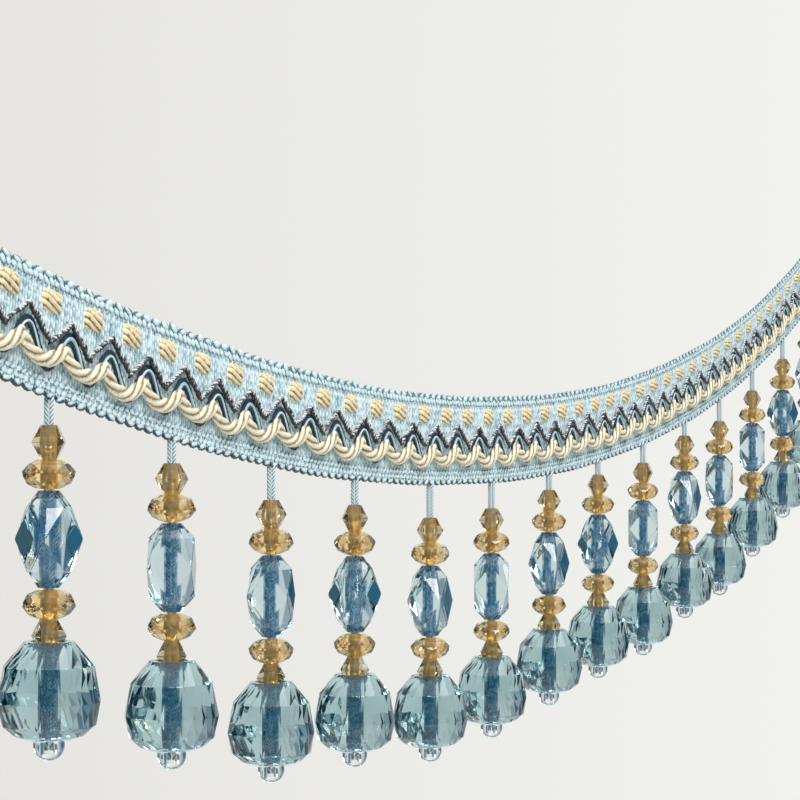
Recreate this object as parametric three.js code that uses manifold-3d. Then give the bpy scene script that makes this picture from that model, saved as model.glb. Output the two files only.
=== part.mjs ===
// Beaded curtain trim: a woven braid tape that hangs in a shallow swag, with faceted bead drops.
// Millimetres. +X runs along the trim, +Z is up, and the tape's show side faces -Y.
// The origin is on the tape's top edge, in its back plane, near the middle of its length.

import * as THREE from 'three';
import { mergeVertices } from 'three/addons/utils/BufferGeometryUtils.js';
import { ConvexGeometry } from 'three/addons/geometries/ConvexGeometry.js';
import Module from 'manifold-3d';

const wasm = await Module();
wasm.setup();

// How the trim hangs
const LEFT_END = -396.7;
const RIGHT_END = 363.0;
const LOWEST_AT = -82.6;
const BOW = 3.19e-4;
const LIFT = 1.695e-10;
const CLEARANCE = 0.3;

// Braid tape
const REPEAT_COUNT = 43;
const REPEATS_PER_DROP = 3;
const TAPE_WIDTH = 25.4;
const TAPE_THICKNESS = 1.1;
const EDGE_THICKNESS = 1.0;
const LOWER_BORDER = 2;
const WANDER = { reach: 0.25, slow: { share: 0.6, length: 31 }, quick: { share: 0.4, length: 11.3 } };
const UPPER_PHASE = 0.4;
const LOWER_PHASE = 1.9;

// One raised lacing dash in each repeat; start and end are shares of the repeat
const DASH = { top: 3.7, height: 4.7, raise: 1.0, slope: 0.4, start: 0.27, end: 0.73, uneven: 0.012 };
// How fast each unevenness runs through the pattern, in radians a repeat
const PACE = { dashStart: 2.3, dashEnd: 1.7, scallop: 1.9 };

// Cords sewn on the tape; each middle line is given by how far down from the top edge it lies
const GOLD = { width: 3.2, depth: 2.0, cusp: 15.2, trough: 18.6, lag: -0.29, uneven: 0.4 };
const NAVY = { width: 2.4, depth: 0.4, peak: 11.9, trough: 19.2, lag: -0.05 };
const YARN = { width: 1.9, depth: 1.0, peak: 8.9, valley: 14.4, lag: -0.09 };
const SEWN_INSET = 1;

// Bead drop
const CORD = { radius: 1.1, sides: 4 };
const BORE_RADIUS = 1.4;
const BORE_SIDES = 6;
const BICONE = { height: 6.8, end: 1.8, girdle: 3.7, sides: 6 };
const RONDELLE = { height: 5.8, end: 2.4, girdle: 5.3, band: 0.8, sides: 8 };
const OVAL = { height: 19.2, end: 2.2, shoulder: 5.0, ridge: 4.5, corner: 6.8, shoulderUp: 6.4 };
const DOME_SIDES = 14;
const DOME_UNDERSIDE_SIDES = 7;
const DOME_PROFILE = [
  // radius and height above the dome's lower rim
  { radius: 5.2, height: 19.6 },
  { radius: 8.5, height: 16.1 },
  { radius: 10.05, height: 11.0 },
  { radius: 10.35, height: 6.0 },
  { radius: 9.1, height: 2.7 },
  { radius: 4.5, height: 0.0 },
];
const DOME_HEIGHT = DOME_PROFILE[0].height;
const BICONE_SEAT = 2.5;
const SEAT_GAP = 0.5;
const UNDERCUT = { wider: 1.2, rise: 3.0 };
const CUT_MARGIN = 1;
const FIRST_DROP_AT = 50.3;
const STOPPER = { radius: 3.15, drop: 1.0, sides: 8, hole: 1.3 };

// One row for each drop, from the left: the cord that shows, the drop's shift along the trim, and
// the turns of the oval and of the dome about the cord, in degrees
const DROPS = [
  { cord: 4.6, shift: -2.4, oval: 20, dome: 4 },
  { cord: 4.3, shift: 0.3, oval: 63, dome: 11 },
  { cord: 7.3, shift: 0.7, oval: 56, dome: 20 },
  { cord: 5.7, shift: 0.0, oval: 28, dome: 7 },
  { cord: 8.5, shift: 1.4, oval: 44, dome: 25 },
  { cord: 7.0, shift: -0.9, oval: 62, dome: 16 },
  { cord: 4.3, shift: -0.1, oval: 38, dome: 2 },
  { cord: 3.8, shift: -1.5, oval: 27, dome: 13 },
  { cord: 5.9, shift: -1.4, oval: 65, dome: 22 },
  { cord: 4.1, shift: 0.4, oval: 40, dome: 9 },
  { cord: 7.8, shift: -1.6, oval: 53, dome: 18 },
  { cord: 7.3, shift: -1.2, oval: 58, dome: 5 },
  { cord: 7.5, shift: 0.0, oval: 28, dome: 27 },
  { cord: 6.2, shift: 0.4, oval: 35, dome: 14 },
];

const MATERIALS = {
  tape: new THREE.MeshStandardMaterial({ color: 0xa9ced6, roughness: 0.85 }),
  gold: new THREE.MeshStandardMaterial({ color: 0xe6cb93, roughness: 0.55 }),
  navy: new THREE.MeshStandardMaterial({ color: 0x16394c, roughness: 0.5 }),
  yarn: new THREE.MeshStandardMaterial({ color: 0x4a3a40, roughness: 0.4, metalness: 0.4 }),
  amber: new THREE.MeshStandardMaterial({ color: 0xd9a350, roughness: 0.12 }),
  oval: new THREE.MeshStandardMaterial({ color: 0x9cc3cf, roughness: 0.08 }),
  dome: new THREE.MeshStandardMaterial({ color: 0x4f8597, roughness: 0.08 }),
  clear: new THREE.MeshStandardMaterial({ color: 0xe9eceb, roughness: 0.08 }),
};

// The swag of the tape's top edge: a bow about its lowest point, steeper towards the right end.
function swagHeight(x) {
  const away = x - LOWEST_AT;
  const middle = -LOWEST_AT;
  const rise = (d) => BOW * d ** 2 + LIFT * d ** 4;
  return rise(away) - rise(middle);
}

class SwagCurve extends THREE.Curve {
  getPoint(t, target = new THREE.Vector3()) {
    const x = LEFT_END + t * (RIGHT_END - LEFT_END);
    return target.set(x, 0, swagHeight(x));
  }
}

const swag = new SwagCurve();
swag.arcLengthDivisions = 1500;
const TAPE_LENGTH = swag.getLength();
const REPEAT = TAPE_LENGTH / REPEAT_COUNT;
const DROP_SPACING = REPEATS_PER_DROP * REPEAT;

// A point of the tape: along it, down its width, and forward of its back plane.
function tapePoint(along, down, forward) {
  const u = THREE.MathUtils.clamp(along / TAPE_LENGTH, 0, 1);
  const point = swag.getPointAt(u);
  const tangent = swag.getTangentAt(u);
  return new THREE.Vector3(
    point.x + down * tangent.z,
    -forward,
    point.z - down * tangent.x,
  );
}

// A closed solid from rings of points, each ring joined to the next and the end rings capped.
// Seen from inside the stack towards its first ring, the points of a ring run clockwise.
function solidFromRings(rings) {
  const size = rings[0].length;
  const position = rings.flat().flatMap((p) => [p.x, p.y, p.z]);
  const index = [];
  for (let i = 0; i + 1 < rings.length; i += 1) {
    for (let j = 0; j < size; j += 1) {
      const a = i * size + j;
      const b = i * size + (j + 1) % size;
      index.push(a, b, a + size, b, b + size, a + size);
    }
  }
  const last = (rings.length - 1) * size;
  for (let j = 1; j + 1 < size; j += 1) {
    index.push(0, j + 1, j);
    index.push(last, last + j, last + j + 1);
  }
  const geometry = new THREE.BufferGeometry();
  geometry.setAttribute('position', new THREE.Float32BufferAttribute(position, 3));
  geometry.setIndex(index);
  geometry.computeVertexNormals();
  return geometry;
}

function toManifold(geometry) {
  const bare = geometry.clone();
  bare.deleteAttribute('normal');
  bare.deleteAttribute('uv');
  const merged = mergeVertices(bare, 1e-4);
  return new wasm.Manifold(new wasm.Mesh({
    numProp: 3,
    vertProperties: new Float32Array(merged.attributes.position.array),
    triVerts: new Uint32Array(merged.index.array),
  }));
}

function fromManifold(solid) {
  const mesh = solid.getMesh();
  const geometry = new THREE.BufferGeometry();
  geometry.setAttribute('position', new THREE.BufferAttribute(mesh.vertProperties, 3));
  geometry.setIndex(new THREE.BufferAttribute(mesh.triVerts, 1));
  geometry.computeVertexNormals();
  return geometry;
}

// A ring of a bead's corners: points on a circle at a height, from a start angle in degrees.
function ring(radius, height, sides, start = 0) {
  return Array.from({ length: sides }, (_, i) => {
    const angle = THREE.MathUtils.degToRad(start + (360 * i) / sides);
    return new THREE.Vector3(radius * Math.cos(angle), radius * Math.sin(angle), height);
  });
}

// A round pin or bore along Z between two heights.
function upright(bottomRadius, topRadius, bottom, top, sides) {
  const geometry = new THREE.CylinderGeometry(topRadius, bottomRadius, top - bottom, sides);
  geometry.rotateX(Math.PI / 2);
  geometry.translate(0, 0, (top + bottom) / 2);
  return toManifold(geometry);
}

// The tape's edges wander a little, as a woven braid's do.
function edgeWander(along, phase) {
  const { reach, slow, quick } = WANDER;
  const swell = slow.share * Math.sin(along / slow.length + phase);
  const ripple = quick.share * Math.sin(along / quick.length + 2 * phase);
  return reach * (swell + ripple);
}

const upperEdge = (along) => edgeWander(along, UPPER_PHASE);
const lowerEdge = (along) => TAPE_WIDTH + edgeWander(along, LOWER_PHASE);

// Braid tape with a flat back, thinner edges, and one raised lacing dash in each repeat.
function tapeGeometry() {
  const stations = [{ along: 0, raised: false }];
  for (let i = 0; i < REPEAT_COUNT; i += 1) {
    const start = (i + DASH.start + DASH.uneven * Math.sin(PACE.dashStart * i)) * REPEAT;
    const end = (i + DASH.end + DASH.uneven * Math.cos(PACE.dashEnd * i)) * REPEAT;
    stations.push({ along: start, raised: false });
    stations.push({ along: start + DASH.slope, raised: true });
    stations.push({ along: end - DASH.slope, raised: true });
    stations.push({ along: end, raised: false });
  }
  stations.push({ along: TAPE_LENGTH, raised: false });
  const rings = stations.map(({ along, raised }) => {
    const front = TAPE_THICKNESS;
    const dashFront = raised ? front + DASH.raise : front;
    const dashBottom = DASH.top + DASH.height;
    const top = upperEdge(along);
    const bottom = lowerEdge(along);
    return [
      tapePoint(along, top, 0),
      tapePoint(along, top, EDGE_THICKNESS),
      tapePoint(along, DASH.top, front),
      tapePoint(along, DASH.top + DASH.slope, dashFront),
      tapePoint(along, dashBottom - DASH.slope, dashFront),
      tapePoint(along, dashBottom, front),
      tapePoint(along, TAPE_WIDTH - LOWER_BORDER, front),
      tapePoint(along, bottom, EDGE_THICKNESS),
      tapePoint(along, bottom, 0),
    ];
  });
  return solidFromRings(rings);
}

// The course of a sewn cord: how far down the tape it lies at each point along it.
class SewnCourse extends THREE.Curve {
  constructor(downAt, forward) {
    super();
    this.downAt = downAt;
    this.forward = forward;
  }

  getPoint(t, target = new THREE.Vector3()) {
    const along = SEWN_INSET + t * (TAPE_LENGTH - 2 * SEWN_INSET);
    return target.copy(tapePoint(along, this.downAt(along / REPEAT), this.forward));
  }
}

// A cord of flat oval section, swept along its course; behind is where its back lies.
function sewnCord(downAt, { width, depth }, behind, stepsPerRepeat, sides) {
  const course = new SewnCourse(downAt, behind + depth / 2);
  course.arcLengthDivisions = REPEAT_COUNT * 24;
  const section = new THREE.Shape(Array.from({ length: sides }, (_, i) => {
    const angle = (2 * Math.PI * (i + 0.5)) / sides;
    const reach = 1 / Math.cos(Math.PI / sides);
    return new THREE.Vector2(
      (reach * depth * Math.cos(angle)) / 2,
      (reach * width * Math.sin(angle)) / 2,
    );
  }));
  return new THREE.ExtrudeGeometry(section, {
    steps: REPEAT_COUNT * stepsPerRepeat,
    extrudePath: course,
    bevelEnabled: false,
  });
}

const wave = (turns) => (1 - Math.cos(2 * Math.PI * turns)) / 2;

// Scallops of uneven depth: rounded troughs under the dashes, narrow cusps between them.
function goldDown(turns) {
  const lagged = turns - GOLD.lag;
  const phase = lagged - Math.floor(lagged);
  const bowl = 1 - (2 * phase - 1) ** 2;
  const depth = GOLD.trough - GOLD.cusp + GOLD.uneven * Math.sin(PACE.scallop * Math.floor(lagged));
  return GOLD.cusp + depth * bowl;
}

function navyDown(turns) {
  return NAVY.peak + (NAVY.trough - NAVY.peak) * wave(turns - NAVY.lag);
}

function yarnDown(turns) {
  const lagged = turns - YARN.lag;
  const phase = lagged - Math.floor(lagged);
  const leg = 1 - Math.abs(2 * phase - 1);
  return YARN.peak + (YARN.valley - YARN.peak) * leg;
}

// Heights in a drop, down from the tape's lower edge
function dropHeights(cord) {
  const half = { bicone: BICONE.height / 2, rondelle: RONDELLE.height / 2, oval: OVAL.height / 2 };
  const upperBicone = -cord - half.bicone;
  const upperRondelle = upperBicone - half.bicone - half.rondelle;
  const oval = upperRondelle - half.rondelle - CLEARANCE - half.oval;
  const lowerRondelle = oval - half.oval - CLEARANCE - half.rondelle;
  const lowerBicone = lowerRondelle - half.rondelle - half.bicone;
  const domeRim = lowerBicone - half.bicone + BICONE_SEAT - DOME_HEIGHT;
  const stopper = domeRim - STOPPER.drop;
  return { upperBicone, upperRondelle, oval, lowerRondelle, lowerBicone, domeRim, stopper };
}

function biconeSolid(height) {
  const { end, girdle, sides } = BICONE;
  const half = BICONE.height / 2;
  const corners = [
    ...ring(end, height + half, sides),
    ...ring(girdle, height, sides),
    ...ring(end, height - half, sides),
  ];
  return toManifold(new ConvexGeometry(corners));
}

// Two rows of facets and a narrow zigzag girdle between them.
function rondelleSolid(height) {
  const { end, girdle, band, sides } = RONDELLE;
  const half = RONDELLE.height / 2;
  const stagger = 180 / sides;
  const corners = [
    ...ring(end, height + half, sides, stagger),
    ...ring(girdle, height + band, sides),
    ...ring(girdle, height - band, sides, stagger),
    ...ring(end, height - half, sides),
  ];
  return toManifold(new ConvexGeometry(corners));
}

// The doubled hanging cord with its four amber beads; it ends inside the stopper.
function strandGeometry(heights, edgeSlope) {
  const cordTop = -CLEARANCE - CORD.radius * Math.abs(edgeSlope);
  const cordEnd = heights.stopper - STOPPER.hole + CLEARANCE;
  const pieces = [
    upright(CORD.radius, CORD.radius, cordEnd, cordTop, CORD.sides),
    biconeSolid(heights.upperBicone),
    rondelleSolid(heights.upperRondelle),
    rondelleSolid(heights.lowerRondelle),
    biconeSolid(heights.lowerBicone),
  ];
  return fromManifold(pieces.reduce((whole, piece) => whole.add(piece)));
}

// Four tall lozenge facets, their side corners touching at mid height, and eight sloping ones.
function ovalGeometry() {
  const { height, end, shoulder, ridge, corner, shoulderUp } = OVAL;
  const half = height / 2;
  const corners = [
    ...ring(end, half, 8, 22.5),
    ...ring(shoulder, shoulderUp, 4, 45),
    ...ring(ridge, shoulderUp, 4),
    ...ring(corner, 0, 4),
    ...ring(shoulder, -shoulderUp, 4, 45),
    ...ring(ridge, -shoulderUp, 4),
    ...ring(end, -half, 8, 22.5),
  ];
  const bore = upright(BORE_RADIUS, BORE_RADIUS, -height, height, BORE_SIDES);
  return fromManifold(toManifold(new ConvexGeometry(corners)).subtract(bore));
}

// Staggered rows of long facets; the top takes the lower bicone, the underside the stopper.
function domeGeometry() {
  const lastRow = DOME_PROFILE.length - 1;
  const sidesOf = (row) => (row === lastRow ? DOME_UNDERSIDE_SIDES : DOME_SIDES);
  const corners = DOME_PROFILE.flatMap(({ radius, height }, row) => (
    ring(radius, height, sidesOf(row), row % 2 ? 180 / DOME_SIDES : 0)
  ));
  const spread = (BICONE.girdle - BICONE.end) / (BICONE.height / 2);
  const mouth = BICONE.end + spread * BICONE_SEAT + SEAT_GAP;
  const throatDepth = (mouth - BORE_RADIUS) / spread;
  const top = DOME_HEIGHT;
  const over = CUT_MARGIN;
  const cuts = [
    upright(BORE_RADIUS, BORE_RADIUS, -over, top + over, BORE_SIDES),
    upright(BORE_RADIUS, mouth + over * spread, top - throatDepth, top + over, BORE_SIDES),
    upright(STOPPER.radius + UNDERCUT.wider, BORE_RADIUS, -over, UNDERCUT.rise, STOPPER.sides),
  ];
  return fromManifold(cuts.reduce(
    (whole, cut) => whole.subtract(cut),
    toManifold(new ConvexGeometry(corners)),
  ));
}

// A round stopper with a blind hole for the end of the cord.
function stopperGeometry() {
  const { radius, sides } = STOPPER;
  const tilts = [-90, -45, 0, 45, 90];
  const corners = tilts.flatMap((degrees) => {
    const tilt = THREE.MathUtils.degToRad(degrees);
    const count = Math.abs(degrees) === 90 ? 1 : sides;
    return ring(radius * Math.cos(tilt), radius * Math.sin(tilt), count);
  });
  const hole = upright(BORE_RADIUS, BORE_RADIUS, -STOPPER.hole, 2 * radius, BORE_SIDES);
  return fromManifold(toManifold(new ConvexGeometry(corners)).subtract(hole));
}

const trim = new THREE.Group();

function addPiece(parent, name, geometry, material, height = 0, turn = 0) {
  const mesh = new THREE.Mesh(geometry, material);
  mesh.name = name;
  mesh.position.z = height;
  mesh.rotation.z = THREE.MathUtils.degToRad(turn);
  parent.add(mesh);
}

function addTape() {
  const onTape = TAPE_THICKNESS + CLEARANCE;
  const onNavy = onTape + NAVY.depth + CLEARANCE;
  const gold = sewnCord(goldDown, GOLD, onNavy, 5, 5);
  const navy = sewnCord(navyDown, NAVY, onTape, 4, 4);
  const yarn = sewnCord(yarnDown, YARN, onNavy, 2, 4);
  addPiece(trim, 'braid_tape', tapeGeometry(), MATERIALS.tape);
  addPiece(trim, 'gold_scallop_cord', gold, MATERIALS.gold);
  addPiece(trim, 'navy_wave_cord', navy, MATERIALS.navy);
  addPiece(trim, 'dark_zigzag_yarn', yarn, MATERIALS.yarn);
}

function addDrop(number, { cord, shift, oval, dome }) {
  const along = FIRST_DROP_AT + (number - 1) * DROP_SPACING + shift;
  const drop = new THREE.Group();
  drop.position.copy(tapePoint(along, lowerEdge(along), EDGE_THICKNESS / 2));
  trim.add(drop);
  const tangent = swag.getTangentAt(along / TAPE_LENGTH);
  const edgeSlope = tangent.z / tangent.x;
  const heights = dropHeights(cord);
  const label = String(number).padStart(2, '0');
  addPiece(drop, `strand_${label}`, strandGeometry(heights, edgeSlope), MATERIALS.amber, 0, oval);
  addPiece(drop, `oval_bead_${label}`, ovalGeometry(), MATERIALS.oval, heights.oval, oval);
  addPiece(drop, `dome_bead_${label}`, domeGeometry(), MATERIALS.dome, heights.domeRim, dome);
  addPiece(drop, `stopper_${label}`, stopperGeometry(), MATERIALS.clear, heights.stopper);
}

addTape();
DROPS.forEach((row, i) => addDrop(i + 1, row));

export default trim;
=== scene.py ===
# %% [markdown]
# # Beaded curtain trim
# The real trim is a braid tape, woven flat on a narrow loom, with cords sewn along it and a bead drop
# hung from its lower edge every few centimetres. It hangs in a shallow swag. This lesson makes each
# piece flat, as on the loom, and then hangs it. The imported CAD part is the frame that all of it
# follows, so it is loaded first.
# %% Load the frame
import math

import bpy
import numpy as np
from mathutils import Matrix, Vector


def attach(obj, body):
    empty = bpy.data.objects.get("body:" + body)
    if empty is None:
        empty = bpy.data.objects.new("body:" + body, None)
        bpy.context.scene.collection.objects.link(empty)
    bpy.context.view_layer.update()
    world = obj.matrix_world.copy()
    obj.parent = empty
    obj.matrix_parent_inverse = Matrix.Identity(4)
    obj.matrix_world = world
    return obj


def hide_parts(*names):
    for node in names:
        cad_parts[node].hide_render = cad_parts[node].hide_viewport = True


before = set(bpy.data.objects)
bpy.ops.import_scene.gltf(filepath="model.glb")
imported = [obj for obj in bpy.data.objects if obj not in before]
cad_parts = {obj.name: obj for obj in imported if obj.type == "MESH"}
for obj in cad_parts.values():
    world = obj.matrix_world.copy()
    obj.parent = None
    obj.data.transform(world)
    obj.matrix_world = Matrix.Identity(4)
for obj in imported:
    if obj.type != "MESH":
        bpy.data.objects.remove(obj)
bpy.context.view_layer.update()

MM = 0.001
bpy.ops.object.select_all(action="DESELECT")

# %% [markdown]
# ## The camera
# The picture was taken level, with a long lens, from beyond the trim's left end. The trim runs away
# from the lens, so its near drops look twice as large as its far ones. The camera comes first,
# because every later choice of detail depends on what it sees.
# %% Camera
CAMERA_AT = Vector((-845.2, -257.6, -3.3)) * MM
LOOKS_ALONG = Vector((0.9368, 0.3498, 0.0))
ACROSS_VIEW = Vector((0.3498, -0.9368, 0.0))
bpy.ops.object.camera_add(location=CAMERA_AT, rotation=LOOKS_ALONG.to_track_quat("-Z", "Y").to_euler())
camera = bpy.context.object
camera.data.lens = 125.6
camera.data.sensor_width = 36
camera.data.clip_start = 0.02
bpy.context.scene.camera = camera
bpy.context.scene.view_settings.view_transform = "Standard"
print("camera looks along", tuple(LOOKS_ALONG))

# %% [markdown]
# ## The swag
# A hanging tape bends only in its own plane here: its top edge follows one curve, and the tape keeps
# square to it. So a point on the loom (along the tape, out from its back, down its width) goes to
# one place in the swag. Making pieces flat and hanging them last keeps every pattern in step.
# %% How the tape hangs
LEFT_END, RIGHT_END = -396.7, 363.0
LOWEST_AT = -82.6
BOW, LIFT = 3.19e-4, 1.695e-10
REPEAT_COUNT = 43
TAPE_WIDTH = 25.4
EDGE_THICKNESS = 1.0


def rise(x):
    return BOW * (x - LOWEST_AT) ** 2 + LIFT * (x - LOWEST_AT) ** 4


def steepness(x):
    return 2 * BOW * (x - LOWEST_AT) + 4 * LIFT * (x - LOWEST_AT) ** 3


swag_x = np.linspace(LEFT_END, RIGHT_END, 8001)
swag_z = rise(swag_x) - rise(0.0)
arc = np.concatenate([[0], np.cumsum(np.hypot(np.diff(swag_x), np.diff(swag_z)))])
TAPE_LENGTH = arc[-1]
REPEAT = TAPE_LENGTH / REPEAT_COUNT
DROP_SPACING = 3 * REPEAT
FIRST_DROP_AT = 50.3


def hang(loom):
    """Loom points (along, minus forward, minus down), in mm, to where they hang, in mm."""
    x = np.interp(loom[:, 0], arc, swag_x)
    slope = steepness(x)
    length = np.hypot(1, slope)
    down = -loom[:, 2]
    height = rise(x) - rise(0.0)
    return np.column_stack([x + down * slope / length, loom[:, 1], height - down / length])


def edge_wander(along, phase):
    slow, quick = np.sin(along / 31 + phase), np.sin(along / 11.3 + 2 * phase)
    return 0.25 * (0.6 * slow + 0.4 * quick)


def upper_edge(along):
    return edge_wander(along, 0.4)


def lower_edge(along):
    return TAPE_WIDTH + edge_wander(along, 1.9)


print(f"tape {TAPE_LENGTH:.1f} mm long, pattern repeat {REPEAT:.2f} mm")

# %% [markdown]
# ## Colours and nodes
# A hex colour is written for the eye, in sRGB, and a shader wants light in linear numbers, so one
# function turns the first into the second. The others add a node with its settings and links, a
# change of range, and a mix of two colours, which keeps each material's recipe short enough to read.
# %% Colour and node helpers


def colour(hex_code):
    """An sRGB hex colour as the linear colour that a shader takes."""
    parts = [int(hex_code[i : i + 2], 16) / 255 for i in (1, 3, 5)]
    return (*[p / 12.92 if p <= 0.04045 else ((p + 0.055) / 1.055) ** 2.4 for p in parts], 1)


def add_node(tree, kind, inputs=None, **settings):
    """Adds a node. inputs gives sockets, by name or number, a value or another node's output."""
    node = tree.nodes.new(kind)
    for name, value in settings.items():
        setattr(node, name, value)
    for socket, value in (inputs or {}).items():
        if isinstance(value, bpy.types.NodeSocket):
            tree.links.new(value, node.inputs[socket])
        else:
            node.inputs[socket].default_value = value
    return node


def in_range(tree, value, low, high, new_low=0.0, new_high=1.0):
    """value, with low to high stretched to new_low to new_high, and clamped there."""
    limits = {"From Min": low, "From Max": high, "To Min": new_low, "To Max": new_high}
    return add_node(tree, "ShaderNodeMapRange", {"Value": value, **limits}).outputs[0]


def mixed(tree, factor, first, second):
    """Two colours mixed: the first where factor is 0, and the second where it is 1."""
    # a Mix node has sockets for each type of value: 6, 7 and output 2 are its colours
    sockets = {"Factor": factor, 6: first, 7: second}
    return add_node(tree, "ShaderNodeMix", sockets, data_type="RGBA").outputs[2]


def new_material(name):
    material = bpy.data.materials.new(name)
    material.use_nodes = True
    material.node_tree.nodes.clear()
    return material, material.node_tree


# %% [markdown]
# ## Yarn materials
# Spun rayon is smooth and a little shiny. Every yarn mesh carries a number called crest, 1 on top of
# a ply and 0 in the furrow. The recipe mixes two colours by it: a lit colour on the crest, and a
# deeper, more saturated colour in the furrow, which is painted shade. It also lays fine flecks of
# fibre on the yarn from the mesh's own UV map, whose first number is the length in metres.
# %% Yarn recipe


def yarn_material(name, furrow, crest, roughness, streaks, sheen, mottle=0.0):
    """furrow is the painted shade colour and crest the lit colour, both hex; streaks and mottle say how
    far each shifts the mix.
    """
    material, tree = new_material(name)
    height = add_node(tree, "ShaderNodeAttribute", attribute_name="crest").outputs["Fac"]
    thread = add_node(tree, "ShaderNodeUVMap", uv_map="thread").outputs["UV"]
    # flecks 0.5 mm long, fourteen round a cord: real fibres are 0.02 mm thick and would not show
    stretched = add_node(tree, "ShaderNodeMapping", {"Vector": thread, "Scale": (2000, 14, 1)})
    fibres = add_node(tree, "ShaderNodeTexNoise", {"Vector": stretched.outputs[0], "Scale": 1.0})
    # uneven spinning: patches about 1.5 mm across that are a little deeper in colour
    place = add_node(tree, "ShaderNodeTexCoord").outputs["Object"]
    patches = add_node(tree, "ShaderNodeTexNoise", {"Vector": place, "Scale": 650.0, "Detail": 1.0})
    # the crest number mixes the lit colour on the crests with painted shade in the furrows
    tone = in_range(tree, height, 0.02, 0.85)
    for noise, amount in ((fibres, streaks), (patches, mottle)):
        change = in_range(tree, noise.outputs["Fac"], 0.25, 0.75, -amount, amount)
        tone = add_node(tree, "ShaderNodeMath", {0: tone, 1: change}).outputs[0]
    blend = add_node(tree, "ShaderNodeClamp", {0: tone}).outputs[0]
    bump = add_node(
        tree, "ShaderNodeBump", {"Strength": 0.4, "Distance": 0.1 * MM, "Height": fibres.outputs["Fac"]}
    )
    shader = add_node(
        tree,
        "ShaderNodeBsdfPrincipled",
        {
            "Base Color": mixed(tree, blend, colour(furrow), colour(crest)),
            "Roughness": roughness,
            "Sheen Weight": sheen,
            "Sheen Roughness": 0.4,
            "Normal": bump.outputs[0],
        },
    )
    add_node(tree, "ShaderNodeOutputMaterial", {"Surface": shader.outputs[0]})
    return material


# Spun rayon ground: matt ice blue, with painted shade in slate teal where the ribs part
ground_rayon = yarn_material("spun rayon, ice blue", "#598b99", "#ecfbfe", 0.6, 0.2, 0.1, 0.22)
# Mercerised edge yarns: grey teal along the top, and the same yarn painted nearly black slate along the
# bottom, as painted shade
upper_edge_yarn = yarn_material("mercerised cotton, grey teal", "#16313b", "#5f8693", 0.5, 0.3, 0.1)
shaded_lower_edge_yarn = yarn_material("mercerised cotton, grey teal in painted shade", "#04090c", "#3d5059", 0.5, 0.3, 0.1)
# Rayon knots, pale ice; brighter than the ground where the thread turns to the light, as painted
# highlight
knot_rayon = yarn_material("rayon knots, pale ice", "#34586a", "#dff4f8", 0.5, 0.2, 0.1, 0.15)
# Silky viscose, low twist: lit cream crests, and caramel furrows that are painted shade
gold_viscose = yarn_material("silky viscose, gold", "#7d5521", "#fff3d3", 0.36, 0.3, 0.2, 0.15)
# The lacing is the same viscose, browner: its plies are finer and shade each other, and that shade is
# painted into its colours
lacing_viscose = yarn_material("silky viscose, gold, deeper painted shade", "#6f4519", "#fbe6b6", 0.4, 0.4, 0.2, 0.3)
# Satin cord: nearly black blue with a soft shine
navy_satin = yarn_material("satin cord, navy", "#020c14", "#0e3046", 0.5, 0.3, 0.0)
# Fine pale line in the navy cord, slack and smooth
pale_fine = yarn_material("fine rayon, pale blue", "#9cc6d4", "#e2f4f9", 0.45, 0.1, 0.1)
# Polyester hanging cord: tight, pale and a little shiny
hanging_polyester = yarn_material("polyester cord, pale blue", "#15303b", "#e4f3f8", 0.45, 0.2, 0.0)

# %% [markdown]
# ## Cords
# A cord is plies laid round each other. Its outline across is the outline of touching circles, and
# that outline turns as it goes along: this one form gives a rope's crests and furrows without
# modelling each ply alone. The course is a list of points, and the outline can be flattened, as it
# is in a cord that is sewn down.
# %% Cord shape
# a soft ply fills the furrow beside it: the outline comes no nearer the middle than this share
DEEPEST_FURROW = 0.66


def cord_shape(course, half_width, half_depth, plies, turn, per_ply, forward=(0, -1, 0)):
    """A cord of twisted plies along a course, in mm: its points, faces, UVs and crest values.

    turn is the length of one full twist, and per_ply the number of corners on each ply.
    """
    course = np.asarray(course, float)
    step = np.linalg.norm(np.diff(course, axis=0), axis=1)
    run = np.concatenate([[0], np.cumsum(step)])
    tangent = np.gradient(course, run, axis=0)
    tangent /= np.linalg.norm(tangent, axis=1)[:, None]
    front = np.broadcast_to(np.asarray(forward, float), course.shape)
    side = np.cross(tangent, front)
    side /= np.linalg.norm(side, axis=1)[:, None]
    front = np.cross(side, tangent)

    sides = plies * per_ply
    around = np.arange(sides)
    from_crest = ((around % per_ply) / per_ply * 2 - 1) * math.pi / plies
    centre = 1 / math.sin(math.pi / plies)
    reach = centre * np.cos(from_crest) + np.sqrt(np.maximum(0, 1 - (centre * np.sin(from_crest)) ** 2))
    reach = np.maximum(reach / (1 + centre), DEEPEST_FURROW)
    crest = (reach - reach.min()) / (reach.max() - reach.min())
    angle = around * 2 * math.pi / sides - 2 * math.pi * run[:, None] / turn
    half_width, half_depth = (np.reshape(half, (-1, 1, 1)) for half in (half_width, half_depth))
    across = (reach * np.cos(angle))[..., None] * side[:, None] * half_width
    out = (reach * np.sin(angle))[..., None] * front[:, None] * half_depth
    points = (course[:, None] + across + out).reshape(-1, 3)

    rings = len(course)
    i, j = np.meshgrid(np.arange(rings - 1), around, indexing="ij")
    k = (j + 1) % sides
    faces = np.stack([i * sides + j, (i + 1) * sides + j, (i + 1) * sides + k, i * sides + k], -1)
    uv_u = np.stack([run[i], run[i + 1], run[i + 1], run[i]], -1) * MM
    uv_v = np.stack([j, j, j + 1, j + 1], -1) / sides
    faces = faces.reshape(-1, 4).tolist()
    faces += [around.tolist(), ((rings - 1) * sides + around[::-1]).tolist()]
    uv = np.stack([uv_u, uv_v], -1).reshape(-1, 2)
    uv = np.vstack([uv, np.zeros((2 * sides, 2))])
    return {"points": points, "faces": faces, "uv": uv, "crest": np.tile(crest, rings)}


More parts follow.
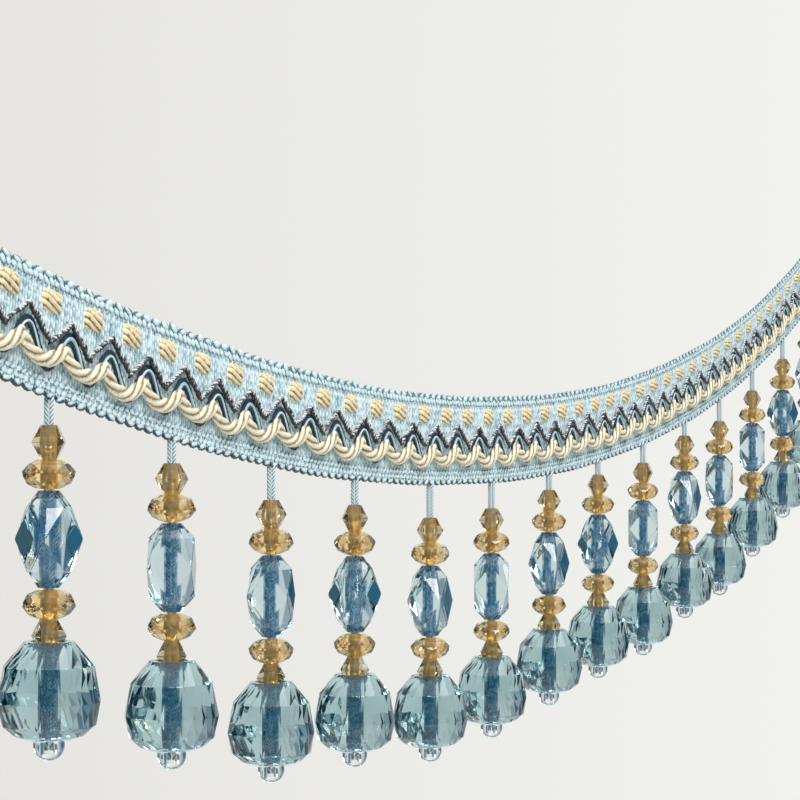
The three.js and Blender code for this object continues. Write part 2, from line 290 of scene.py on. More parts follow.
def join_shapes(shapes):
    offsets = np.cumsum([0] + [len(s["points"]) for s in shapes])
    faces = [[v + int(o) for v in f] for s, o in zip(shapes, offsets) for f in s["faces"]]
    return {
        "points": np.vstack([s["points"] for s in shapes]),
        "faces": faces,
        "uv": np.vstack([s["uv"] for s in shapes]),
        "crest": np.concatenate([s["crest"] for s in shapes]),
    }


def make_piece(name, shape, material, stands_for):
    """A mesh in metres, riding on the part, in place of the CAD nodes that it stands for."""
    mesh = bpy.data.meshes.new(name)
    mesh.from_pydata((shape["points"] * MM).tolist(), [], shape["faces"])
    mesh.uv_layers.new(name="thread").data.foreach_set("uv", shape["uv"].ravel())
    mesh.attributes.new("crest", "FLOAT", "POINT").data.foreach_set("value", shape["crest"])
    mesh.polygons.foreach_set("use_smooth", [True] * len(mesh.polygons))
    mesh.materials.append(material)
    mesh.update()
    piece = bpy.data.objects.new(name, mesh)
    bpy.context.collection.objects.link(piece)
    finish_piece(piece, stands_for)
    return piece


def finish_piece(piece, stands_for):
    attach(piece, "root")
    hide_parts(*stands_for)
    triangles = sum(len(p.vertices) - 2 for p in piece.data.polygons)
    print(f"{piece.name}: {triangles} triangles")


def hung_shape(shape):
    return {**shape, "points": hang(shape["points"])}


# %% [markdown]
# ## The woven ground
# The ground is cross-ribbed: thick weft threads run down its width, sixteen to a repeat, and show as
# short stitches, each over two warp threads and under one. Rows of small gaps run along it where the
# warp pulls the ribs apart: the surface dips there, and they are painted dark as shade. It could be a
# flat strip with a bump texture, but the ribs are what shows, so they are in the mesh: three columns
# of points for each rib, and rows 0.65 mm apart.
# %% Ground
RIBS_PER_REPEAT = 16
COLUMNS_PER_RIB = 3
RIB_PITCH = REPEAT / RIBS_PER_REPEAT
GROUND_FRONT = 1.0
RIB_HEIGHT = 0.32
ROW_PITCH = 0.65
STITCH_ROWS = 3
# where a rib dives under a warp thread, and where a gap opens: how much lower the surface lies
UNDER_DIP, GAP_DIP = 0.45 * RIB_HEIGHT, 0.45
rows = np.arange(1.0, TAPE_WIDTH - 0.7, ROW_PITCH)
# gap rows: how far down, and the share of each repeat that has gaps, from and to
GAP_ROWS = [(3.3, 0.0, 1.0), (8.9, 0.24, 0.76), (20.9, 0.0, 1.0)]

rib_count = REPEAT_COUNT * RIBS_PER_REPEAT
columns = rib_count * COLUMNS_PER_RIB + 1
along = np.linspace(0, TAPE_LENGTH, columns)
phase = (along / REPEAT) % 1
rib_number = np.minimum(np.arange(columns) // COLUMNS_PER_RIB, rib_count - 1)
rib = np.abs(np.sin(np.pi * along / RIB_PITCH))
paired = 0.5 - 0.5 * np.cos(np.pi * along / RIB_PITCH) ** 3
rng = np.random.default_rng(7)
stitch_tone = rng.normal(0, 0.13, (len(rows) // STITCH_ROWS + 2, rib_count))
downs, fronts, crests = [], [], []
for number, down in enumerate(rows):
    start = number + (rib_number % 2) * 2
    under = np.where(start % STITCH_ROWS == 0, 1.0, 0.0)
    # height is painted light: rib tops are lit, and the valleys between ribs and the stitches that dive
    # under a warp are painted shade
    height = 0.3 + 0.65 * rib * (0.8 + 0.3 * paired) - 0.42 * under
    front = GROUND_FRONT + RIB_HEIGHT * (rib - 0.5) - UNDER_DIP * under
    for gap_down, first, last in GAP_ROWS:
        if abs(down - gap_down) < ROW_PITCH / 2:
            here = (phase >= first) & (phase <= last)
            gap = np.clip(np.cos(np.pi * along / RIB_PITCH), 0, 1) ** 2 * here
            # a gap is painted dark, as shade in the hollow, besides lying lower
            height, front = height * (1 - gap) - 0.3 * gap, front - GAP_DIP * gap
    downs.append(down + np.zeros(columns))
    fronts.append(front)
    crests.append(np.clip(height + stitch_tone[start // STITCH_ROWS, rib_number], 0, 1))
downs[0], downs[-1] = upper_edge(along) + rows[0], lower_edge(along) - TAPE_WIDTH + rows[-1]

ring_down = [downs[0]] + downs + [downs[-1]]
ring_front = [np.zeros(columns)] + fronts + [np.zeros(columns)]
ring_crest = [np.full(columns, 0.5)] + crests + [np.full(columns, 0.5)]
around_count = len(ring_down)
points = np.stack([np.stack([along, -f, -d], -1) for d, f in zip(ring_down, ring_front)], 1)
i, j = np.meshgrid(np.arange(columns - 1), np.arange(around_count), indexing="ij")
k = (j + 1) % around_count
this_ring, next_ring = i * around_count, (i + 1) * around_count
corners = [this_ring + j, this_ring + k, next_ring + k, next_ring + j]
faces = np.stack(corners, -1).reshape(-1, 4).tolist()
last_ring = (columns - 1) * around_count
faces += [list(range(around_count))[::-1], [last_ring + v for v in range(around_count)]]
# the ribs run down the width, so a thread's length does too; 40 makes its flecks 1.8 mm wide
flat_uv = points.reshape(-1, 3)[:, [2, 0]] * MM
ground_shape = {
    "points": hang(points.reshape(-1, 3)),
    "faces": faces,
    "uv": np.vstack([flat_uv[f] for f in faces]) * [1, 40],
    "crest": np.stack(ring_crest, 1).ravel(),
}
ground = make_piece("woven_ground", ground_shape, ground_rayon, ["braid_tape"])

# %% [markdown]
# ## Looped edges and knots
# Both edges end in small loops, four to a repeat, of a darker yarn; the lower loops are painted
# darker still, as painted shade. A bright knot sits inside each loop, and rows of shorter knots, eight
# to a repeat, lie further in. One knot is modelled, and copies of it are set along the loom. Each
# edge's loops are one cord whose course runs in arches.
# %% Loops along both edges
LOOPS_PER_REPEAT = 4
LOOP_PITCH = REPEAT / LOOPS_PER_REPEAT
LOOP_FOOT, LOOP_RISE = 1.65, 1.15
LOOP_FORWARD = 0.85
POINTS_PER_LOOP = 10


def loop_course(edge, towards):
    """Arches that stand on a line inside the tape and touch its edge; towards is 1 for the top."""
    steps = REPEAT_COUNT * LOOPS_PER_REPEAT * POINTS_PER_LOOP
    along = np.linspace(0.3, TAPE_LENGTH - 0.3, steps + 1)
    arch = np.abs(np.sin(np.pi * along / LOOP_PITCH)) ** 0.6
    down = edge(along) + towards * (LOOP_FOOT - LOOP_RISE * arch)
    return np.column_stack([along, np.full(len(along), -LOOP_FORWARD), -down])


for name, edge, towards, half, yarn in (
    ("upper_edge_loops", upper_edge, 1, 0.34, upper_edge_yarn),
    ("lower_edge_loops", lower_edge, -1, 0.4, shaded_lower_edge_yarn),
):
    shape = hung_shape(cord_shape(loop_course(edge, towards), half, 0.5, 2, 2.4, 3))
    make_piece(name, shape, yarn, ["braid_tape"])

# %% Knots
bpy.ops.mesh.primitive_uv_sphere_add(segments=8, ring_count=6, radius=1.0)
knot = bpy.context.object
knot_points = np.array([v.co[:] for v in knot.data.vertices])
knot_faces = [list(p.vertices) for p in knot.data.polygons]
bpy.data.objects.remove(knot)


def knot_row(down, pitch, offset, length, width, depth, lean=0.0):
    """Knots along the loom, one to each pitch, in mm. No two have quite the same size or place."""
    shapes = []
    for n in range(int(TAPE_LENGTH / pitch - offset)):
        at = (n + 0.5 + offset) * pitch
        half = np.array([length, depth, width]) / 2 * (1 + 0.2 * rng.uniform(-1, 1, 3))
        points = knot_points * half
        points[:, 2] += (lean + rng.uniform(-0.3, 0.3)) * points[:, 0]
        shift, drop = rng.uniform(-0.15, 0.15), rng.uniform(-0.1, 0.1)
        where = np.array([at + shift, -GROUND_FRONT, -(down(at) + drop)])
        uv = np.vstack([points[f][:, [2, 0]] * MM for f in knot_faces])
        # the front of each knot gets the lit colour and its back the dark one: painted highlight and
        # painted shade
        crest = np.clip(-1.5 * knot_points[:, 1] - 0.25 + rng.normal(0, 0.1), 0, 1)
        shapes.append({"points": points + where, "faces": knot_faces, "uv": uv, "crest": crest})
    return join_shapes(shapes)


knots = [
    knot_row(lambda at: upper_edge(at) + 1.0, LOOP_PITCH, 0.0, 3.4, 1.5, 0.9, -0.1),
    knot_row(lambda at: 2.3, LOOP_PITCH / 2, 0.0, 2.5, 1.6, 0.8, -0.2),
    knot_row(lambda at: 21.7, LOOP_PITCH / 2, 0.5, 2.4, 1.1, 0.7, 0.1),
    knot_row(lambda at: 23.1, LOOP_PITCH / 2, 0.0, 2.5, 1.4, 0.8, 0.1),
    knot_row(lambda at: lower_edge(at) - 1.15, LOOP_PITCH, 0.0, 3.3, 1.3, 0.9, 0.1),
]
edge_knots = make_piece(
    "edge_knots", hung_shape(join_shapes(knots)), knot_rayon, ["braid_tape"]
)

# %% [markdown]
# ## Lacing dashes
# A thick, soft cord is laced through the ground: it shows as one dash in each repeat and dives
# under the ribs between them. Each dash is a short cord of eight plies, flattened by the ribs that
# hold it, with both ends cut off square where they turn down into the ground.
# %% Lacing dashes
DASH_MIDDLE = 6.05
DASH_HALF = 2.35
# the shares of a repeat at which its dash starts and ends, and how far these wander
DASH_START, DASH_END, DASH_WANDER = 0.285, 0.715, 0.012
dashes = []
for n in range(REPEAT_COUNT):
    start = (n + DASH_START + DASH_WANDER * math.sin(2.3 * n)) * REPEAT
    end = (n + DASH_END + DASH_WANDER * math.cos(1.7 * n)) * REPEAT
    # blunt ends: the points crowd there, and the cord drops into the ground over a short way
    t = (1 - np.cos(np.linspace(0, np.pi, 17))) / 2
    plump = np.clip(2.6 * np.sin(np.pi * t**0.9), 0, 1) ** 0.5
    forward = 0.45 + 0.5 * plump
    course = np.column_stack([start + (end - start) * t, -forward, np.full(len(t), -DASH_MIDDLE)])
    half = DASH_HALF * (0.8 + 0.2 * plump)
    dashes.append(cord_shape(course, half, 0.35 + 0.65 * plump, 8, 38 + 5 * math.sin(n), 4))
lacing = make_piece(
    "lacing_dashes", hung_shape(join_shapes(dashes)), lacing_viscose, ["braid_tape"]
)

# %% [markdown]
# ## Sewn cords
# Three cords run over the ground. A flat navy cord with a pale line in it waves underneath, a dark
# metallic yarn zigzags above it, and a fat gold rope lies over both in scallops. Each follows the
# course that the CAD part gives it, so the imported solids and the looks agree. The zigzag alone
# strays from it, by half a millimetre, as a slack yarn does.
# %% Courses
GOLD_CUSP, GOLD_TROUGH, GOLD_LAG, GOLD_UNEVEN = 15.2, 18.6, -0.29, 0.4
NAVY_PEAK, NAVY_TROUGH, NAVY_LAG = 11.9, 19.2, -0.05
YARN_PEAK, YARN_VALLEY, YARN_LAG = 8.9, 14.4, -0.09
# the cords stop this far inside the tape's two cut ends
CUT_MARGIN = 1.0


def gold_down(turns):
    """How far down the tape the rope lies. turns counts repeats, here and in the next two."""
    lagged = turns - GOLD_LAG
    bowl = 1 - (2 * (lagged % 1) - 1) ** 2
    uneven = GOLD_UNEVEN * np.sin(1.9 * np.floor(lagged))
    return GOLD_CUSP + (GOLD_TROUGH - GOLD_CUSP + uneven) * bowl


def navy_down(turns):
    return NAVY_PEAK + (NAVY_TROUGH - NAVY_PEAK) * (1 - np.cos(2 * np.pi * (turns - NAVY_LAG))) / 2


def yarn_down(turns):
    lagged = turns - YARN_LAG
    leg = 1 - np.abs(2 * (lagged % 1) - 1)
    slack = 0.45 * np.sin(2.7 * np.round(lagged)) + 0.15 * np.sin(23 * turns)
    return YARN_PEAK + (YARN_VALLEY - YARN_PEAK) * leg + slack


def sewn_course(down_at, forward, step, beside=0.0):
    """A course along the tape. beside, in mm, moves it square to itself, down the width."""
    along = np.arange(CUT_MARGIN, TAPE_LENGTH - CUT_MARGIN, step)
    beside = beside(along / REPEAT) if callable(beside) else beside
    down = down_at(along / REPEAT)
    slope = np.gradient(down, along)
    length = np.hypot(1, slope)
    return np.column_stack(
        [along - beside * slope / length, np.full(len(along), -forward), -(down + beside / length)]
    )


# %% Navy cord
NAVY_FORWARD = 1.5
navy_strands = [
    cord_shape(sewn_course(navy_down, NAVY_FORWARD, 0.8, -0.75), 0.6, 0.42, 3, 5.0, 3),
    cord_shape(sewn_course(navy_down, NAVY_FORWARD, 0.8, 0.72), 0.42, 0.42, 3, 5.0, 3),
]
pale_strand = cord_shape(sewn_course(navy_down, NAVY_FORWARD + 0.2, 0.8, 0.06), 0.42, 0.42, 2, 30, 4)
for name, shape, material in (
    ("navy_wave_strands", join_shapes(navy_strands), navy_satin),
    ("navy_cord_pale_line", pale_strand, pale_fine),
):
    make_piece(name, hung_shape(shape), material, ["navy_wave_cord"])

# %% [markdown]
# ## Metallic zigzag yarn
# The zigzag is two yarns side by side: a smooth black one, and a chained one in which black, plum and
# silver take turns every millimetre or so. Both are cords on the same course, set apart by their own
# widths. The chained one takes its colours from its UV map: a ply's place round the yarn, and noise
# along it.
# %% Zigzag yarns
black_yarn = yarn_material("smooth polyester, black", "#05080b", "#171c22", 0.35, 0.3, 0.1)
chain_yarn, tree = new_material("chained metallic yarn, black, plum and silver")
thread = add_node(tree, "ShaderNodeUVMap", uv_map="thread")
height = add_node(tree, "ShaderNodeAttribute", attribute_name="crest")
# links about 1.5 mm long and half a turn wide
links = add_node(tree, "ShaderNodeMapping", {"Vector": thread.outputs["UV"], "Scale": (650, 2, 1)})
fleck = add_node(tree, "ShaderNodeTexNoise", {"Vector": links.outputs[0], "Scale": 1.0, "Detail": 1.0})
fleck_colour = add_node(tree, "ShaderNodeValToRGB", {"Fac": fleck.outputs["Fac"]})
stops = fleck_colour.color_ramp.elements
stops[0].position, stops[0].color = 0.37, colour("#14161b")
stops[1].position, stops[1].color = 0.55, colour("#ffffff")
for position, code in ((0.41, "#523945"), (0.45, "#8f828b"), (0.49, "#e2dfe6")):
    stop = stops.new(position)
    stop.color = colour(code)
# the crest number darkens the furrows towards near black: painted shade between the plies
lit = in_range(tree, height.outputs["Fac"], 0.0, 0.5, 0.25)
shade = mixed(tree, lit, colour("#0a0b0f"), fleck_colour.outputs["Color"])
metal = in_range(tree, fleck.outputs["Fac"], 0.5, 0.6, 0.0, 0.2)
shader = add_node(
    tree, "ShaderNodeBsdfPrincipled", {"Base Color": shade, "Metallic": metal, "Roughness": 0.35}
)
add_node(tree, "ShaderNodeOutputMaterial", {"Surface": shader.outputs[0]})
YARN_FORWARD = 2.1


def black_beside(turns):
    """The black yarn shows below the chained one on falling legs, and hides behind it on rising."""
    falling = np.clip(3 * np.sin(2 * np.pi * (turns - YARN_LAG)), -1, 1)
    return 0.3 + 0.3 * falling


def chained_beside(turns):
    return -0.35 + 0.12 * np.sin(17 * turns)


for name, beside, half_width, turn, material in (
    ("black_zigzag_yarn", black_beside, 0.38, 3.0, black_yarn),
    ("chained_zigzag_yarn", chained_beside, 0.44, 2.2, chain_yarn),
):
    course = sewn_course(yarn_down, YARN_FORWARD, 0.3, beside)
    shape = hung_shape(cord_shape(course, half_width, 0.5, 2, turn, 4))
    make_piece(name, shape, material, ["dark_zigzag_yarn"])

# %% [markdown]
# ## Gold rope
# The rope is four soft plies laid left-handed, with a turn of about 17 mm, so the plies lie across
# the falling side of each scallop and along its rising side.
# %% Gold rope
GOLD_FORWARD = 2.5
gold_shape = cord_shape(sewn_course(gold_down, GOLD_FORWARD, 0.32), 1.65, 1.15, 4, -17.5, 5)
make_piece(
    "gold_scallop_rope", hung_shape(gold_shape), gold_viscose, ["gold_scallop_cord"]
)

# %% [markdown]
# ## Drops
# Each drop hangs straight down from the lower edge on a doubled cord. The table has one row for each
# drop, as the CAD part has: the bare cord above its first bead, its shift along the tape, and the
# turns of its oval and its dome.
# %% The drops' table
BICONE = {"height": 6.8, "end": 1.8, "girdle": 3.7}
RONDELLE = {"height": 5.8, "end": 2.4, "shoulder": 4.3, "shoulder_up": 1.95, "girdle": 5.3, "band": 0.5}
OVAL = {"height": 19.2, "end": 2.2, "shoulder": 5.0, "ridge": 4.5, "corner": 6.8, "shoulder_up": 6.4}
DOME_HEIGHT = 19.6
BICONE_SEAT = 2.5
STOPPER = {"radius": 3.15, "drop": 1.0}
CLEARANCE = 0.3
DROPS = [
    # cord, shift, oval, dome
    (4.6, -2.4, 20, 4),
    (4.3, 0.3, 63, 11),
    (7.3, 0.7, 56, 20),
    (5.7, 0.0, 28, 7),
    (8.5, 1.4, 44, 25),
    (7.0, -0.9, 62, 16),
    (4.3, -0.1, 38, 2),
    (3.8, -1.5, 27, 13),
    (5.9, -1.4, 65, 22),
    (4.1, 0.4, 40, 9),
    (7.8, -1.6, 53, 18),
    (7.3, -1.2, 58, 5),
    (7.5, 0.0, 28, 27),
    (6.2, 0.4, 35, 14),
]


def drop_heights(cord):
    upper_bicone = -cord - BICONE["height"] / 2
    upper_rondelle = upper_bicone - (BICONE["height"] + RONDELLE["height"]) / 2
    oval = upper_rondelle - (RONDELLE["height"] + OVAL["height"]) / 2 - CLEARANCE
    lower_rondelle = oval - (RONDELLE["height"] + OVAL["height"]) / 2 - CLEARANCE
    lower_bicone = lower_rondelle - (BICONE["height"] + RONDELLE["height"]) / 2
    dome_rim = lower_bicone - BICONE["height"] / 2 + BICONE_SEAT - DOME_HEIGHT
    return upper_bicone, upper_rondelle, oval, lower_rondelle, lower_bicone, dome_rim


def drop_place(number):
    """Where drop number hangs from: a point in the lower edge, in mm."""
    along = FIRST_DROP_AT + (number - 1) * DROP_SPACING + DROPS[number - 1][1]
    return hang(np.array([[along, -EDGE_THICKNESS / 2, -lower_edge(along)]]))[0]


# %% [markdown]
# ## Hanging cords
# The cord of a drop is one thin cord, doubled, so two tight cords hang side by side. They come out
# of the tape's edge, and can be seen again inside the clear beads. They end in the small ball at the
# bottom. A straight run of the same cord shape is enough, because the beads' weight keeps it straight.
# %% Hanging cords
HALF_CORD = 0.53
CORD_TUCK = 0.9
CORD_PAST_BALL_MIDDLE = 1.0
for number, (bare, *_) in enumerate(DROPS, 1):
    place = drop_place(number)
    bottom = drop_heights(bare)[-1] - STOPPER["drop"] - CORD_PAST_BALL_MIDDLE
    z = np.arange(CORD_TUCK, bottom, -0.3)
    shapes = []
    for which in (-1, 1):
        beside = which * HALF_CORD * ACROSS_VIEW
        x, y = place[0] + beside[0], place[1] + beside[1]
        course = np.column_stack([np.full(len(z), x), np.full(len(z), y), place[2] + z])
        shapes.append(cord_shape(course, HALF_CORD, HALF_CORD, 3, 2.7 * which, 3, -LOOKS_ALONG))
    make_piece(
        f"hanging_cord_{number:02d}",
        join_shapes(shapes),
        hanging_polyester,
        [f"strand_{number:02d}"],
    )

# %% [markdown]
# ## Acrylic and its lining
# The beads are moulded acrylic, clear and lightly tinted, and the wall of each hole is painted: that
# is what makes the deep stripe down the middle, and the facets mirror it in patches. So the surface
# is colourless and lets the light in, the tint is in the volume, and the paint is a material of its
# own. Acrylic bends light a little less than glass, with an IOR of 1.49.
# %% Acrylic recipe


def acrylic_material(name, tint, density):
    """tint is a hex colour; the volume takes up density times what the tint lacks, per metre."""
    material, tree = new_material(name)
    shader = add_node(
        tree,
        "ShaderNodeBsdfPrincipled",
        {"Base Color": (1, 1, 1, 1), "Roughness": 0.02, "IOR": 1.49, "Transmission Weight": 1.0},
    )
    body = add_node(tree, "ShaderNodeVolumeAbsorption", {"Color": colour(tint), "Density": density})
    add_node(
        tree, "ShaderNodeOutputMaterial", {"Surface": shader.outputs[0], "Volume": body.outputs[0]}
    )
    return material


def lining_material(name, paint, worn):
    """Paint on the wall of a hole; worn is the share of it that lets the cord show through."""
    material, tree = new_material(name)
    place = add_node(tree, "ShaderNodeTexCoord").outputs["Object"]
    # worn specks about 1.3 mm across
    specks = add_node(tree, "ShaderNodeTexNoise", {"Vector": place, "Scale": 750.0, "Detail": 0.0})
    thin = in_range(tree, specks.outputs["Fac"], 0.3, 0.7, worn / 2, worn * 1.5)
    # foil flakes in the paint: their tilt breaks its shine into sparks
    flakes = add_node(tree, "ShaderNodeTexNoise", {"Vector": place, "Scale": 1600.0, "Detail": 0.0})
    tilt = add_node(
        tree,
        "ShaderNodeBump",
        {"Strength": 0.7, "Distance": 0.25 * MM, "Height": flakes.outputs["Fac"]},
    )
    coat = add_node(
        tree,
        "ShaderNodeBsdfPrincipled",
        {
            "Base Color": colour(paint),
            "Metallic": 0.7,
            "Roughness": 0.35,
            "Normal": tilt.outputs[0],
        },
    )
    gap = add_node(tree, "ShaderNodeBsdfTransparent", {"Color": (0.9, 0.95, 1.0, 1)})
    surface = add_node(
        tree, "ShaderNodeMixShader", {"Fac": thin, 1: coat.outputs[0], 2: gap.outputs[0]}
    )
    add_node(tree, "ShaderNodeOutputMaterial", {"Surface": surface.outputs[0]})
    return material


# Amber acrylic: straw in thin edges, honey in a long path, with gold paint in the hole
amber_acrylic = acrylic_material("tinted acrylic, amber", "#fbdc6c", 150)
gold_lining = lining_material("paint in the hole, old gold", "#f2c870", 0.38)
# Aqua acrylic: nearly clear, so that its facets show the blue paint in the hole
aqua_acrylic = acrylic_material("tinted acrylic, pale aqua", "#aedce4", 60)
blue_lining = lining_material("paint in the hole, peacock blue", "#3390bb", 0.6)
# Grey aqua acrylic for the dome: paler than it looks, because its depth adds up
teal_acrylic = acrylic_material("tinted acrylic, grey aqua", "#a6d0d4", 70)
teal_lining = lining_material("paint in the hole, deep teal", "#2c7f9f", 0.45)
# Clear acrylic for the end ball: colourless, a trace of grey in its depth
clear_acrylic = acrylic_material("clear acrylic", "#f3f1ee", 8)

# %% [markdown]
# ## Faceted beads
# A faceted bead is set out as a jeweller does: rings of corners at a few heights. The convex hull of
# the rings gives its flat faces. A narrow bevel softens the edges as moulding does, and a boolean
# drills the hole. Each kind of bead is made once, and every drop gets its own copies.
# %% Bead maker


def ring_of_corners(radius, height, count, start):
    """Adds corners on a circle to the mesh in edit mode, in mm and degrees."""
    bpy.ops.mesh.primitive_circle_add(
        vertices=count,
        radius=radius * MM,
        location=(0, 0, height * MM),
        rotation=(0, 0, math.radians(start - 90)),
    )


def faceted_bead(name, rings, bevel_mm, material):
    """A bead from rings of (radius, height, corners, start)."""
    bpy.ops.object.select_all(action="DESELECT")
    bpy.ops.mesh.primitive_circle_add(
        vertices=rings[0][2],
        radius=rings[0][0] * MM,
        location=(0, 0, 0),
    )
    bead = bpy.context.object
    bead.name = name
    bead.data.materials.append(material)
    bpy.ops.object.mode_set(mode="EDIT")
    bpy.ops.mesh.delete(type="VERT")
    for radius, height, count, start in rings:
        ring_of_corners(radius, height, count, start)
    bpy.ops.mesh.select_all(action="SELECT")
    bpy.ops.mesh.convex_hull()
    bpy.ops.mesh.select_all(action="SELECT")
    bpy.ops.mesh.dissolve_limited(angle_limit=math.radians(1.0))
    bpy.ops.mesh.normals_make_consistent(inside=False)
    bpy.ops.object.mode_set(mode="OBJECT")
    bevel = bead.modifiers.new("soft edges", "BEVEL")
    bevel.width, bevel.segments = bevel_mm * MM, 1
    bevel.limit_method, bevel.angle_limit = "ANGLE", math.radians(6)
    bpy.ops.object.modifier_apply(modifier=bevel.name)
    return bead


def drill(bead, lower_radius, upper_radius, bottom, top, lining=None):
    """Cuts a round or conical hole on the bead's axis, between two heights in mm, and lines it."""
    bpy.ops.mesh.primitive_cone_add(
        vertices=32,
        radius1=lower_radius * MM,
        radius2=upper_radius * MM,
        depth=(top - bottom) * MM,
        location=(0, 0, (top + bottom) / 2 * MM),
    )
    drill_bit = bpy.context.object
    cut = bead.modifiers.new("hole", "BOOLEAN")
    cut.operation, cut.object, cut.solver = "DIFFERENCE", drill_bit, "EXACT"
    if lining:
        drill_bit.data.materials.append(lining)
        cut.material_mode = "TRANSFER"
    bpy.context.view_layer.objects.active = bead
    bpy.ops.object.modifier_apply(modifier=cut.name)
    bpy.data.objects.remove(drill_bit)


def copy_bead(bead, height, turn):
    """The bead's mesh, turned about the cord and moved to its height, in mm and degrees."""
    mesh = bead.data.copy()
    mesh.transform(Matrix.Translation((0, 0, height * MM)) @ Matrix.Rotation(math.radians(turn), 4, "Z"))
    return mesh


# %% One bead of each kind
HOLE, WIDE_HOLE = 1.25, 1.4
half = BICONE["height"] / 2
bicone = faceted_bead(
    "bicone",
    [(BICONE["end"], half, 6, 0), (BICONE["girdle"], 0, 6, 0), (BICONE["end"], -half, 6, 0)],
    0.1,
    amber_acrylic,
)
drill(bicone, HOLE, HOLE, -2 * half, 2 * half, gold_lining)

half = RONDELLE["height"] / 2
RONDELLE_FACETS = 10
stagger = 180 / RONDELLE_FACETS
upper_half = [
    (RONDELLE["end"], half, stagger),
    (RONDELLE["shoulder"], RONDELLE["shoulder_up"], 0),
    (RONDELLE["girdle"], RONDELLE["band"], stagger),
]
rondelle = faceted_bead(
    "rondelle",
    [(radius, height, RONDELLE_FACETS, start) for radius, height, start in upper_half]
    + [(radius, -height, RONDELLE_FACETS, stagger - start) for radius, height, start in upper_half],
    0.08,
    amber_acrylic,
)
drill(rondelle, HOLE, HOLE, -2 * half, 2 * half, gold_lining)

half = OVAL["height"] / 2
oval = faceted_bead(
    "oval",
    [
        (OVAL["end"], half, 8, 22.5),
        (OVAL["shoulder"], OVAL["shoulder_up"], 4, 45),
        (OVAL["ridge"], OVAL["shoulder_up"], 4, 0),
        (OVAL["corner"], 0, 4, 0),
        (OVAL["shoulder"], -OVAL["shoulder_up"], 4, 45),
        (OVAL["ridge"], -OVAL["shoulder_up"], 4, 0),
        (OVAL["end"], -half, 8, 22.5),
    ],
    0.12,
    aqua_acrylic,
)
drill(oval, WIDE_HOLE, WIDE_HOLE, -2 * half, 2 * half, blue_lining)

DOME_FACETS = 18
DOME_RINGS = [(5.0, 19.5), (9.0, 14.6), (10.25, 7.6), (9.3, 2.9), (6.9, 0.9), (4.5, 0.1)]
dome = faceted_bead(
    "dome",
    [
        (radius, height, DOME_FACETS, 180 / DOME_FACETS * (row % 2))
        for row, (radius, height) in enumerate(DOME_RINGS)
    ],
    0.08,
    teal_acrylic,
)
# the mouth flares as the bicone that sits in it does, half a millimetre wider
flare = (BICONE["girdle"] - BICONE["end"]) / (BICONE["height"] / 2)
mouth = BICONE["end"] + flare * BICONE_SEAT + 0.5
mouth_bottom = DOME_HEIGHT - (mouth - WIDE_HOLE) / flare
drill(dome, WIDE_HOLE, WIDE_HOLE, -5, 25, teal_lining)
drill(dome, WIDE_HOLE, mouth + flare, mouth_bottom, DOME_HEIGHT + 1, teal_lining)
# the hollow under the dome, in which the end ball sits
drill(dome, STOPPER["radius"] + 1.2, WIDE_HOLE, -1, 3.0)

bpy.ops.mesh.primitive_uv_sphere_add(segments=24, ring_count=14, radius=STOPPER["radius"] * MM)
ball = bpy.context.object
ball.data.materials.append(clear_acrylic)
drill(ball, HOLE, HOLE, -1.3, 6)
bpy.ops.object.select_all(action="DESELECT")
ball.select_set(True)
bpy.ops.object.shade_smooth_by_angle(angle=math.radians(35))
for bead in (bicone, rondelle, oval, dome, ball):
    print(bead.name, len(bead.data.polygons), "faces")


# %% [markdown]
# ## Threading the drops
# Every drop gets a copy of each bead, at its own height and turn. The four amber beads of a drop are
# joined into one piece, as the CAD part has them.
# %% Thread the beads


def bead_piece(name, meshes, place, stands_for):
    """Joins copied bead meshes into one piece that hangs from a place, in mm."""
    parts = []
    for mesh in meshes:
        mesh.transform(Matrix.Translation(Vector(place) * MM))
        part = bpy.data.objects.new(name, mesh)
        bpy.context.collection.objects.link(part)
        parts.append(part)
    bpy.ops.object.select_all(action="DESELECT")
    for part in parts:
        part.select_set(True)
    bpy.context.view_layer.objects.active = parts[0]
    if len(parts) > 1:
        bpy.ops.object.join()
    piece = bpy.context.object
    piece.name = name
    finish_piece(piece, stands_for)


for number, (bare, _, oval_turn, dome_turn) in enumerate(DROPS, 1):
    place = drop_place(number)
    upper_bicone, upper_rondelle, oval_at, lower_rondelle, lower_bicone, dome_rim = drop_heights(bare)
    label = f"{number:02d}"
    amber = [
        copy_bead(bicone, upper_bicone, oval_turn),
        copy_bead(rondelle, upper_rondelle, oval_turn + 7 * number),
        copy_bead(rondelle, lower_rondelle, oval_turn - 11 * number),
        copy_bead(bicone, lower_bicone, oval_turn + 20),
    ]
    clear = [copy_bead(oval, oval_at, oval_turn)]
    faceted = [copy_bead(dome, dome_rim, dome_turn)]
    end = [copy_bead(ball, dome_rim - STOPPER["drop"], 0)]
    for name, meshes, slot, node in (
        ("amber_beads", amber, "amber_acrylic", "strand"),
        ("clear_oval", clear, "pale_aqua_acrylic", "oval_bead"),
        ("faceted_dome", faceted, "teal_acrylic", "dome_bead"),
        ("end_ball", end, "clear_acrylic", "stopper"),
    ):
        bead_piece(f"{name}_{label}", meshes, place, [f"{node}_{label}"])
for bead in (bicone, rondelle, oval, dome, ball):
    bpy.data.objects.remove(bead)

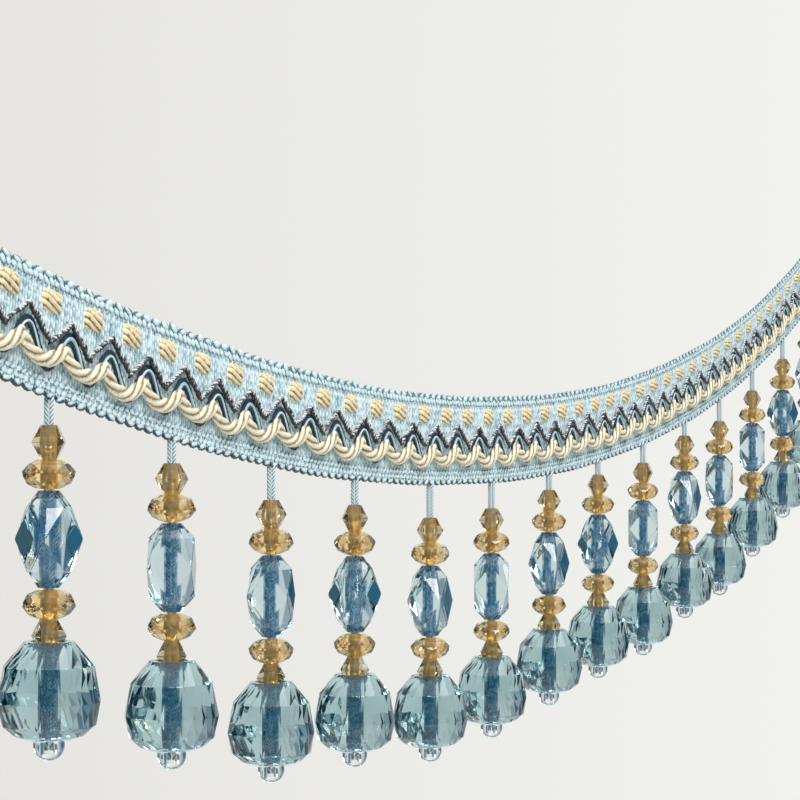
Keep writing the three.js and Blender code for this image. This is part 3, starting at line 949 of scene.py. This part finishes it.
# %% [markdown]
# ## Studio
# The trim hangs before a plain pale ground, in soft light from the left of the lens and above. Clear
# beads show what is round them, so the room matters as much as the lamps: it is pale behind the
# trim, bright above and darker behind the camera, which draws the dark lines in the facets.
# %% Floor, world and lamps
FLOOR_SIZE, FLOOR_HEIGHT = 2.6, -0.46
bpy.ops.mesh.primitive_plane_add(size=FLOOR_SIZE, location=(0, 0, FLOOR_HEIGHT))
floor = bpy.context.object
floor.name = "studio_floor"
paper, tree = new_material("matt paper, pale grey")
grain = add_node(tree, "ShaderNodeTexNoise", {"Scale": 400.0})
shader = add_node(tree, "ShaderNodeBsdfPrincipled", {"Base Color": colour("#cfceca"), "Roughness": 0.9})
soft = add_node(
    tree, "ShaderNodeBump", {"Strength": 0.05, "Distance": 0.0002, "Height": grain.outputs["Fac"]}
)
tree.links.new(soft.outputs[0], shader.inputs["Normal"])
add_node(tree, "ShaderNodeOutputMaterial", {"Surface": shader.outputs[0]})
floor.data.materials.append(paper)

world = bpy.data.worlds.new("studio")
world.use_nodes = True
tree = world.node_tree
tree.nodes.clear()
direction = add_node(tree, "ShaderNodeTexCoord").outputs["Generated"]
ahead = add_node(
    tree, "ShaderNodeVectorMath", {0: direction, 1: tuple(LOOKS_ALONG)}, operation="DOT_PRODUCT"
)
across = add_node(
    tree, "ShaderNodeVectorMath", {0: direction, 1: tuple(ACROSS_VIEW)}, operation="DOT_PRODUCT"
)
up = add_node(tree, "ShaderNodeVectorMath", {0: direction, 1: (0, 0, 1)}, operation="DOT_PRODUCT")
wall_side = in_range(tree, across.outputs["Value"], -0.14, 0.14)
wall = mixed(tree, wall_side, colour("#e6e5e1"), colour("#f1f1ee"))
behind_side = in_range(tree, across.outputs["Value"], -0.5, 0.5)
behind = mixed(tree, behind_side, colour("#2f6884"), colour("#4a5f66"))
room = mixed(tree, in_range(tree, ahead.outputs["Value"], 0.65, 0.97), behind, wall)
overhead = in_range(tree, up.outputs["Value"], 0.45, 0.85)
sky = mixed(tree, overhead, room, colour("#f4f7f8"))
glow = in_range(tree, overhead, 0.0, 1.0, 1.0, 1.8)
seen_by_beads = add_node(tree, "ShaderNodeBackground", {"Color": sky, "Strength": glow})
# the lens itself sees the same pale wall whichever way it looks
seen_by_lens = add_node(tree, "ShaderNodeBackground", {"Color": wall, "Strength": 1.0})
straight = add_node(tree, "ShaderNodeLightPath").outputs["Is Camera Ray"]
room_light = add_node(
    tree,
    "ShaderNodeMixShader",
    {"Fac": straight, 1: seen_by_beads.outputs[0], 2: seen_by_lens.outputs[0]},
)
add_node(tree, "ShaderNodeOutputWorld", {"Surface": room_light.outputs[0]})
bpy.context.scene.world = world


LAMPS_AIM = Vector((0, 0, -0.03))


def softbox(name, location, size, watts):
    bpy.ops.object.light_add(type="AREA", location=location)
    lamp = bpy.context.object
    lamp.name = name
    lamp.data.size, lamp.data.energy = size, watts
    lamp.rotation_euler = (LAMPS_AIM - Vector(location)).to_track_quat("-Z", "Y").to_euler()


softbox("key_softbox", (-1.5, -1.1, 1.2), 0.8, 30)
softbox("top_softbox", (0.1, -0.4, 1.6), 1.0, 7)
softbox("side_softbox", (1.1, -1.1, 0.4), 0.5, 3)
